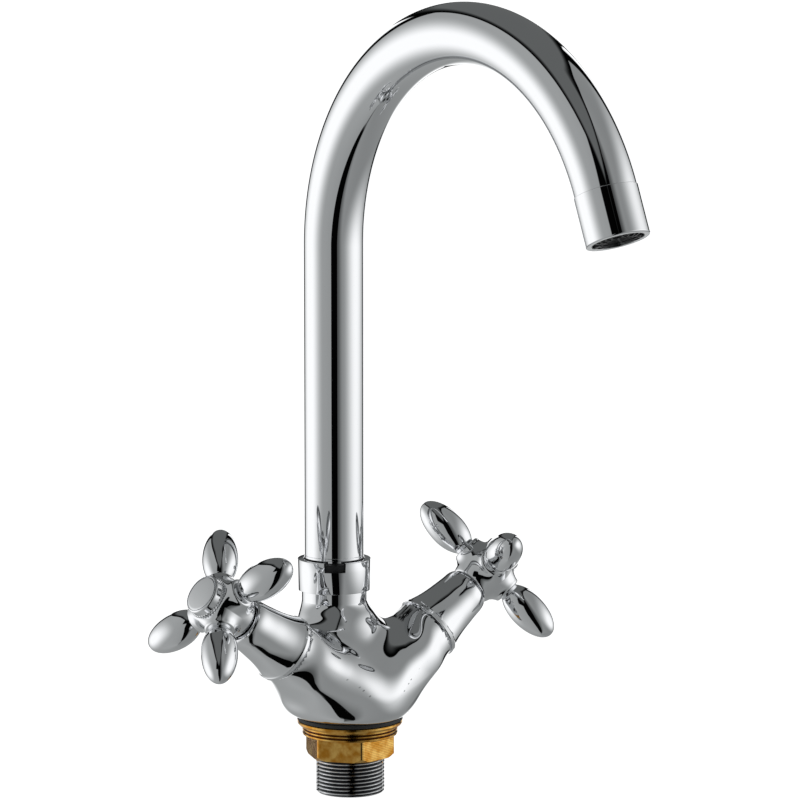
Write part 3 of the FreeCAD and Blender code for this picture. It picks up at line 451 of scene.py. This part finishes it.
# Spout nut: a thin turned brass collar, chrome plated, screwed over the neck, where its lip holds
# the slide ring down. It has one notch in its upper edge for a hook spanner.
collar_radius = 14.7
collar_top = 64.0
collar_edge = 0.25
edge_middle = 0.07
lip_radius = 12.3
lip_bottom = 63.2
notch_half = 4.2
notch_bottom = 60.3
notch_turn = np.radians(-90.0 - 35.0)
notch_wall = 0.012
half_turn = np.arcsin(notch_half / collar_radius)
around = notch_turn + np.concatenate([np.linspace(-half_turn, half_turn, 17), [half_turn + notch_wall],
                                      np.linspace(half_turn + 0.05, 2 * np.pi - half_turn - 0.05, 140),
                                      [2 * np.pi - half_turn - notch_wall]])
cut = np.abs((around - notch_turn + np.pi) % (2 * np.pi) - np.pi) < half_turn + notch_wall / 2
outline = np.array([(neck_radius, collar_bottom + 0.05), (13.4, collar_bottom),
                    (collar_radius - collar_edge, collar_bottom),
                    (collar_radius - edge_middle, collar_bottom + edge_middle),
                    (collar_radius, collar_bottom + collar_edge),
                    (collar_radius, notch_bottom - collar_edge), (collar_radius, collar_top - collar_edge),
                    (collar_radius - edge_middle, collar_top - edge_middle),
                    (collar_radius - collar_edge, collar_top),
                    (lip_radius + 0.1, collar_top), (lip_radius, collar_top - 0.1), (lip_radius, lip_bottom),
                    (neck_radius, lip_bottom), (neck_radius, notch_bottom - collar_edge)])
radius = np.repeat(outline[:, :1], len(around), axis=1)
heights = np.repeat(outline[:, 1:], len(around), axis=1)
heights[:, cut] = np.minimum(heights[:, cut], notch_bottom)
radius[:, cut] = np.maximum(radius[:, cut], neck_radius)
grid = np.stack([radius * np.cos(around), radius * np.sin(around) + column_y, heights], axis=-1)
collar = skin("collar", grid[::-1], closed=(True, True), sharp=40.0)
dress(collar, chrome, "chrome", "tap", "spout_nut")

# Spout end fitting: turned brass end of the spout, brazed into the tube, chrome plated. It turns
# in the neck; only its narrow shoulder shows between collar and tube.
tube_radius = 12.0
tube_foot = 65.6
fitting_bore = 7.6
fitting = turned("swivel_end", [(fitting_bore, 38.0, 0.1), (9.95, 38.0, 0.2), (9.95, 58.58, 0.1),
                                (11.0, 58.58, 0.1), (11.0, 60.3, 0.1), (12.4, 60.3, 0.1),
                                (12.4, 61.9, 0.1), (11.0, 61.9, 0.1), (11.0, 64.4, 0.1),
                                (tube_radius, 64.4, 0.2), (tube_radius, 65.45, 0.12),
                                (10.7, tube_foot, 0.05), (10.7, 74.6, 0.1), (fitting_bore, 74.6, 0.1)],
                 at_column)
dress(fitting, chrome, "chrome", "spout", "spout_end_fitting")

# Spout tube: drawn brass tube of 24 mm, bent once round a former to a swan neck, polished after
# bending and chrome plated.
tube_bore = 10.8
tube_edge = 0.15
bend_radius = 87.7
bend_level = 190.6
bend_angle = np.radians(157.5)
bend_length = bend_radius * bend_angle
straight_length = bend_level - tube_foot


def along_spout(distance):
    """Centre of the spout's path and direction away from the bend's middle, at distances along it:
    straight up the column, then round the bend's circle towards the front."""
    turn = np.clip((distance - straight_length) / bend_radius, 0, bend_angle)
    rise = np.minimum(distance, straight_length)
    zero = np.zeros_like(distance)
    centre = np.stack([zero, column_y - bend_radius * (1 - np.cos(turn)),
                       tube_foot + rise + bend_radius * np.sin(turn)], axis=1)
    outer = np.stack([zero, np.cos(turn), np.sin(turn)], axis=1)
    return centre, outer


distance = np.concatenate([[0.0, tube_edge], np.linspace(8, straight_length, 8)[:-1],
                           straight_length + np.linspace(0, bend_length, 180)])
reach = np.full(len(distance), tube_radius)
reach[0] -= tube_edge
centre, outer = along_spout(distance)
around = np.linspace(0, 2 * np.pi, 128, endpoint=False)
normals = np.cos(around)[None, :, None] * np.array([1.0, 0, 0]) \
    + np.sin(around)[None, :, None] * outer[:, None]
outside = centre[:, None] + normals * reach[:, None, None]
inside = centre[:, None] + normals * tube_bore
grid = np.concatenate([outside, inside[::-1]])
normals = np.concatenate([normals, -normals[::-1]])
tube = skin("swan_neck", grid, normals, (True, True))
dress(tube, chrome, "chrome", "spout", "spout_tube")

# Aerator housing: thin turned brass sleeve, chrome plated, screwed over the bush at the tube's
# end, with a fine seam above it and a lip at its mouth.
sleeve_radius = 12.3
sleeve_length = 19.0
end_centre, _ = along_spout(np.array([straight_length + bend_length]))
at_outlet = (np.array([[1, 0, 0], [0, np.cos(bend_angle), -np.sin(bend_angle)],
                       [0, np.sin(bend_angle), np.cos(bend_angle)]]), end_centre[0])
sleeve = turned("outlet_sleeve", [(11.0, 0.1, 0.05), (sleeve_radius, 0.1, 0.2),
                                  (sleeve_radius, sleeve_length, 0.5), (10.0, sleeve_length, 0.2),
                                  (10.0, 17.6, 0.1), (11.0, 17.6, 0.05)], at_outlet)
dress(sleeve, chrome, "chrome", "spout", "aerator_housing")

# Outlet bush: a short turned brass ring with the thread for the sleeve. It is brazed into the
# tube's mouth and hidden by the sleeve.
dress(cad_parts["outlet_bush"], brass, "brass")

# Aerator: black acetal insert with a fine lattice, a perforated steel screen and a rubber ring,
# dropped into the sleeve. The spout's two rubber rings seal its end fitting in the neck. Steel
# shows as a grey, slightly blurred mirror.
steel, tree, end = finish("stamped stainless steel")
shader = add(tree, "ShaderNodeBsdfPrincipled", {"Base Color": linear("C2C3C4"), "Metallic": 1.0,
                                                "Roughness": 0.25})
tree.links.new(shader.outputs[0], end.inputs[0])
dress(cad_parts["aerator_insert"], plastic, "black_plastic")
dress(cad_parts["aerator_screen"], steel, "steel")
for ring in ("aerator_seal", "spout_oring_lower", "spout_oring_upper"):
    dress(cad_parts[ring], rubber, "black_rubber")

# Valves inside the arms: brass housings and spindles, two lapped ceramic discs, rubber seals and
# a steel circlip each, and the screw that holds the handle. Bonnets and buttons hide them all.
# Lapped ceramic is off-white with an even, clear gloss.
ceramic, tree, end = finish("lapped alumina ceramic")
shader = add(tree, "ShaderNodeBsdfPrincipled", {"Base Color": linear("E8E4DA"), "Roughness": 0.2,
                                                "IOR": 1.76})
tree.links.new(shader.outputs[0], end.inputs[0])
for side in ("hot", "cold"):
    for part, material, slot in (("valve_housing", brass, "brass"),
                                 ("housing_oring", rubber, "black_rubber"),
                                 ("seat_seal", rubber, "black_rubber"),
                                 ("fixed_disc", ceramic, "ceramic"),
                                 ("moving_disc", ceramic, "ceramic"),
                                 ("spindle", brass, "brass"),
                                 ("spindle_oring_lower", rubber, "black_rubber"),
                                 ("spindle_oring_upper", rubber, "black_rubber"),
                                 ("circlip", steel, "steel"),
                                 ("handle_screw", steel, "steel")):
        dress(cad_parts[side + "_" + part], material, slot)

# Bonnets: turned brass covers, flared like a trumpet towards the arm, with a rounded rim that
# sits on the arm's end over a fine dark seam, chrome plated and screwed over the valve housings.
bonnet_rim = [(12.8, 0.0, 0.05), (12.8, 0.55, 0.05), (13.8, 0.55, 0.1), (14.05, 0.85, 0.2), (14.05, 2.1, 0.3),
              (13.7, 2.6, 0.1)]
bonnet_flare = through([(13.55, 2.9), (12.8, 5.2), (12.05, 8.2), (11.45, 11.5), (11.0, 15.0), (10.45, 20.0),
                        (9.95, 24.0), (9.55, 25.2)], 40)
bonnet_inside = [(8.95, 25.6, 0.25), (7.8, 25.6, 0.2), (7.8, 15.1, 0.1), (9.05, 15.1, 0.1), (9.05, 8.6, 0.1),
                 (10.7, 8.6, 0.1), (10.7, 3.2, 0.1), (12.1, 3.2, 0.1), (12.1, 0.0, 0.1)]
bonnet_outline = bonnet_rim + [(r, l, 0.0) for r, l in bonnet_flare] + bonnet_inside
bonnet_outline = [(r, l + arm_end, bend) for r, l, bend in bonnet_outline]


def about_axis(turn):
    """Rotation by a turn about the upright axis."""
    return np.array([[np.cos(turn), -np.sin(turn), 0], [np.sin(turn), np.cos(turn), 0], [0, 0, 1]])


def on_arm(side, turn=0.0):
    """Rotation and shift that turn a piece about its axis and lay that on the hot (-1) or cold
    (+1) valve's axis: first about the upright, then over sideways by the rest of a right angle."""
    over = side * (np.pi / 2 - arm_lean)
    lay = np.array([[np.cos(over), 0, np.sin(over)], [0, 1, 0], [-np.sin(over), 0, np.cos(over)]])
    return lay @ about_axis(turn), np.array([0.0, arm_plane, arm_cross])


for side, sign in (("hot", -1), ("cold", 1)):
    bonnet = turned(side + "_cover", bonnet_outline, on_arm(sign))
    dress(bonnet, chrome, "chrome", "tap", side + "_bonnet")

# Handles: each is one brass casting, ground and chrome plated, pushed on the spindle. A round hub
# runs out into four short bosses with a soft hollow between them, and each boss carries a
# rounded lobe. Heights count along the valve's axis from the plane of the lobes.
lobe_plane = 80.0
hub_foot = -11.3
hub_top = 6.2
hub_edge = 0.8
hub_hollow = 3.2
hub_line = through([(hub_foot, 8.4), (-10.4, 8.9), (-8.0, 9.8), (-5.0, 10.8), (-2.0, 11.3), (1.0, 11.2),
                    (4.0, 10.3), (hub_top, 8.9)], 200)
boss_radius = 5.9
boss_reach = 12.5
boss_edge = 1.2
lobe_radius = 7.25
lobe_middle = 23.2
lobe_tip_half = 14.2
lobe_foot_half = 12.6
lobe_foot_turn = -0.94
sleeve_outline = [(4.5, -17.6, 0.1), (7.2, -17.6, 0.3), (7.2, -10.0, 0.1), (4.5, -10.0, 0.1)]


def hub_field(p):
    """Negative inside the hub. The hub is a circle whose radius changes along the axis, the four
    bosses are round bars across it with a soft edge at their ends, and all melt into each other."""
    x, y, z = np.abs(p[..., 0]), np.abs(p[..., 1]), p[..., 2]
    hub = np.hypot(x, y) - np.interp(z, hub_line[:, 0], hub_line[:, 1])
    bars = -melt(-np.minimum(np.hypot(y, z), np.hypot(x, z)) + boss_radius,
                 boss_reach - np.maximum(x, y), boss_edge)
    ends = np.maximum(z - hub_top, hub_foot - z)
    return -melt(-melt(hub, bars, hub_hollow), -ends, hub_edge)


lobe_turn = np.linspace(lobe_foot_turn, np.pi / 2, 44)
lobe_half = np.where(lobe_turn > 0, lobe_tip_half, lobe_foot_half)
lobe_line = np.stack([lobe_radius * np.cos(lobe_turn), lobe_middle + lobe_half * np.sin(lobe_turn)], axis=1)
lobe_outline = [(0.0, 11.5, 0.0), (4.0, 11.6, 0.0)] + [(r, l, 0.0) for r, l in lobe_line]
lay_out = np.array([[0.0, 0.0, 1.0], [0.0, 1.0, 0.0], [-1.0, 0.0, 0.0]])
hub_grid, hub_normals = cast(hub_field, centre=np.array([0.0, 0.0, -1.0]), farthest=24.0,
                             rows=180, columns=288)

# Buttons: round brass caps, chrome plated and pressed into the hubs. Each has a flat bare face
# with a fine groove round it and a rim knurled like a rope at its foot.
cap_outline = np.array([(0.0, 4.8), (3.8, 4.72), (6.3, 4.55), (7.05, 4.46), (7.15, 4.4), (7.2, 4.0),
                        (7.5, 4.0), (7.55, 4.35), (7.7, 4.3), (7.95, 4.1), (8.15, 3.7), (8.2, 3.2),
                        (8.2, 1.5), (8.25, 1.3)])
knurl_levels = np.linspace(1.25, 0.05, 13)
knurl_count = 40
knurl_lean = 2.4
knurl_radius = 8.2
knurl_swell = 0.05
knurl_depth = 0.5
knurl_middle = 0.62
knurl_half = 0.66
plug_radius = 5.1
around = np.linspace(0, 2 * np.pi, 6 * knurl_count, endpoint=False)
rope = 0.5 - 0.5 * np.cos(knurl_count * around[None, :] + knurl_lean * knurl_levels[:, None])
swell = np.sqrt(np.clip(1 - ((knurl_levels - knurl_middle) / knurl_half) ** 2, 0, 1))[:, None]
radius = np.concatenate([np.repeat(cap_outline[:, :1], len(around), axis=1),
                         knurl_radius + swell * (knurl_swell + knurl_depth * rope),
                         np.full((2, len(around)), plug_radius)])
heights = np.concatenate([cap_outline[:, 1], knurl_levels, [0.05, 2.5]])[:, None] + hub_top
cap_grid = np.stack([radius * np.cos(around), radius * np.sin(around),
                     np.broadcast_to(heights, radius.shape)], axis=-1)

# Each handle stands turned about its valve's axis by its own angle in degrees while the tap is shut.
for side, sign, rest in (("hot", -1, 38.0), ("cold", 1, -32.5)):
    spin, shift = on_arm(sign, np.radians(rest))
    shift = shift + spin @ np.array([0, 0, lobe_plane])
    hub = skin(side + "_hub", hub_grid @ spin.T + shift, hub_normals @ spin.T)
    dress(hub, chrome, "chrome", side + "_control", side + "_handle")
    for quarter in range(4):
        lobe = turned(f"{side}_lobe_{quarter + 1}", lobe_outline,
                      (spin @ about_axis(quarter * np.pi / 2) @ lay_out, shift), closed=False, columns=96)
        dress(lobe, chrome, "chrome", side + "_control", side + "_handle")
    sleeve = turned(side + "_hub_sleeve", sleeve_outline, (spin, shift))
    dress(sleeve, chrome, "chrome", side + "_control", side + "_handle")
    button = skin(side + "_cap", (cap_grid @ spin.T + shift)[::-1], closed=(False, True), sharp=42.0)
    dress(button, chrome, "chrome", side + "_control", side + "_button")

# Studio: a plain pale floor under the shank and a white surround that only the camera sees. Both
# glow by themselves, so that the picture's ground is an even white.
floor_level = -29.6
studio_reach = 9000.0
white, tree, end = finish("pale studio paper")
glow = add(tree, "ShaderNodeBsdfPrincipled", {"Base Color": linear("F2F2F2"), "Roughness": 0.9,
                                              "Emission Color": linear("FFFFFF"), "Emission Strength": 0.9})
tree.links.new(glow.outputs[0], end.inputs[0])
sides = np.array([-studio_reach, studio_reach])
floor_points = np.stack(np.meshgrid(sides, sides, indexing="ij") + [np.full((2, 2), floor_level)], axis=-1)
floor = skin("studio_floor", floor_points, np.broadcast_to([0.0, 0, 1], (2, 2, 3)), (False, False))
floor.data.materials.append(white)
floor.visible_glossy = False

surround, tree, end = finish("white surround")
glow = add(tree, "ShaderNodeEmission", {"Color": linear("FFFFFF"), "Strength": 1.1})
tree.links.new(glow.outputs[0], end.inputs[0])
tip = np.linspace(0, np.pi, 24)[:, None]
around = np.linspace(0, 2 * np.pi, 48, endpoint=False)[None, :]
dome_points = studio_reach * np.stack([np.sin(tip) * np.cos(around), np.sin(tip) * np.sin(around),
                                       np.cos(tip) * np.ones_like(around)], axis=-1)
dome = skin("studio_surround", dome_points, -dome_points)
dome.data.materials.append(surround)
dome.visible_diffuse = dome.visible_glossy = dome.visible_transmission = dome.visible_shadow = False

# Room: soft light all round, which the chrome shows. It has grey walls with a broad soft lamp on
# either side, a dark ceiling, a narrow black strip behind the camera, and a white paper between
# two thin black flags behind the object.
camera_turn = np.radians(-37.096)
wall_grey = 0.54
wall_tilt = 0.05
room_power = 2.2
room_strength = 1.27
room = bpy.data.worlds.new("studio room")
bpy.context.scene.world = room
room.use_nodes = True
tree = room.node_tree
tree.nodes.clear()


class Term:
    """One value of the room's description, which changes with the direction. Terms and numbers
    add, subtract, multiply, divide and rise to powers, and each such step is a node."""

    def __init__(self, output):
        self.output = output

    def __add__(self, other):
        return worked("ADD", self, other)

    def __sub__(self, other):
        return worked("SUBTRACT", self, other)

    def __rsub__(self, other):
        return worked("SUBTRACT", other, self)

    def __mul__(self, other):
        return worked("MULTIPLY", self, other)

    def __truediv__(self, other):
        return worked("DIVIDE", self, other)

    def __pow__(self, other):
        return worked("POWER", self, other)

    def __abs__(self):
        return worked("ABSOLUTE", self)

    __radd__ = __add__
    __rmul__ = __mul__


def worked(operation, *values):
    """Term that one operation makes of terms and numbers."""
    numbers = {i: value for i, value in enumerate(values) if not isinstance(value, Term)}
    terms = {i: value.output for i, value in enumerate(values) if isinstance(value, Term)}
    return Term(add(tree, "ShaderNodeMath", {"operation": operation, **numbers}, terms).outputs[0])


def between(value, low, high):
    """Soft step from 0 to 1 while the value goes from low to high."""
    made = add(tree, "ShaderNodeMapRange", {"interpolation_type": "SMOOTHSTEP", "From Min": low,
                                            "From Max": high}, {"Value": value.output})
    return Term(made.outputs[0])


def fade(first, second, share):
    """Goes from the first value to the second as the share goes from 0 to 1."""
    return first * (1.0 - share) + second * share


# Bearings are degrees from the camera's side, positive towards the picture's right, and heights
# are degrees above the horizon.
place = add(tree, "ShaderNodeTexCoord").outputs["Object"]
parts = add(tree, "ShaderNodeSeparateXYZ", {}, {0: place})
across, ahead, up = (Term(output) for output in parts.outputs)
compass = worked("DEGREES", worked("ARCTAN2", across, ahead)) + (float(np.degrees(camera_turn)) + 360.0)
bearing = 180.0 - worked("FLOORED_MODULO", compass, 360.0)
rise = worked("DEGREES", worked("ARCSINE", up))

# Walls: a little lighter to the left. Each lamp is a soft oval that is brightest within its core
# and fades out at its edge, both as shares of its half width and half height.
lamps = ({"bearing": -102.0, "height": -12.0, "half_width": 25.0, "half_height": 20.0},
         {"bearing": 96.0, "height": 5.0, "half_width": 27.0, "half_height": 18.5})
lamp_edge = 2.5
lamp_core = 0.5
lamp_share = 0.9
lit = 0.0
for lamp in lamps:
    sideways = (bearing - lamp["bearing"]) / lamp["half_width"]
    upwards = (rise - lamp["height"]) / lamp["half_height"]
    lit = lit + between(worked("SQRT", sideways ** 2.0 + upwards ** 2.0), lamp_edge, lamp_core)
walls = wall_grey - wall_tilt * worked("SINE", worked("RADIANS", bearing))
walls = fade(walls, 1.0, lit * lamp_share)

# Black strip behind the camera: it leans to the right low down and widens to the left under the
# ceiling. The wall at its right is softly shaded.
strip_bearing = 3.0
strip_lean = 0.2
strip_bend = -8.0
strip_half = (12.0, 11.0)
strip_foot = (-76.0, -68.0)
head_left = (-26.0, -23.0)
head_right = (7.0, 3.0)
head_foot = (17.0, 20.0)
shade_start = (11.0, 13.0)
shade_end = (36.0, 12.0)
shade_share = 0.5
strip_middle = strip_bearing - strip_lean * worked("MINIMUM", rise - strip_bend, 0.0)
strip = between(abs(bearing - strip_middle), *strip_half) * between(rise, *strip_foot)
head = between(bearing, *head_left) * between(bearing, *head_right) * between(rise, *head_foot)
shade = between(bearing, *shade_start) * between(bearing, *shade_end)
walls = walls * (1.0 - shade * shade_share)

# Behind the object: a white paper, and a thin black flag at either side of it.
paper_edge = (154.0, 158.0)
paper_height = 2.0
paper_reach = (34.0, 22.0)
paper_white = 0.97
flag_bearing = 149.0
flag_half = (7.0, 5.0)
flag_height = 16.0
flag_reach = (44.0, 34.0)
flag_black = 0.04
paper = between(abs(bearing), *paper_edge) * between(abs(rise - paper_height), *paper_reach)
walls = fade(walls, paper_white, paper)
flags = between(abs(abs(bearing) - flag_bearing), *flag_half) \
    * between(abs(rise - flag_height), *flag_reach)
walls = fade(walls, flag_black, worked("MAXIMUM", worked("MAXIMUM", strip, head), flags))

# Dark ceiling: its edge is a low arch over the left wall and a higher, flatter one over the right.
# It is black at its edge and grey further up.
left_bearing, left_top, left_fall = -75.0, 56.0, 0.0053
right_bearing, right_top, right_fall = 80.0, 72.0, 0.0000957
ceiling_grey = 0.36
ceiling_depth = 12.0
ceiling_edge = (-0.5, 0.8)
left_arch = left_top - left_fall * (bearing - left_bearing) ** 2.0
right_arch = right_top - right_fall * abs(bearing - right_bearing) ** 3.0
above = rise - worked("MAXIMUM", left_arch, right_arch)
ceiling = ceiling_grey * between(above, 0.0, ceiling_depth)
seen = fade(walls, ceiling, between(above, *ceiling_edge))

# The greys are as the eye sees them, so a power turns them to light. Dark places are a little
# cooler than bright ones.
tint = add(tree, "ShaderNodeMix", {"data_type": "RGBA", 6: linear("F4FBFA"), 7: linear("FFFFFF")},
           {0: seen.output})
strength = room_strength * seen ** room_power
glow = add(tree, "ShaderNodeBackground", {}, {"Color": tint.outputs[2], "Strength": strength.output})
add(tree, "ShaderNodeOutputWorld", {}, {0: glow.outputs[0]})

# Camera: a long lens far from the object, a little above it and turned to its left side. Its place
# and turn are worked out from the spout, the handles and the foot in the photograph.
lens = bpy.data.cameras.new("camera")
lens.lens = 195.7
lens.sensor_width = 36.0
lens.clip_end = 50.0
camera = bpy.data.objects.new("camera", lens)
bpy.context.scene.collection.objects.link(camera)
camera.location = (-1.01691, -1.37815, 0.37379)
camera.rotation_euler = (np.radians(81.873), 0.0, camera_turn)
bpy.context.scene.camera = camera
bpy.context.scene.view_settings.view_transform = "Standard"
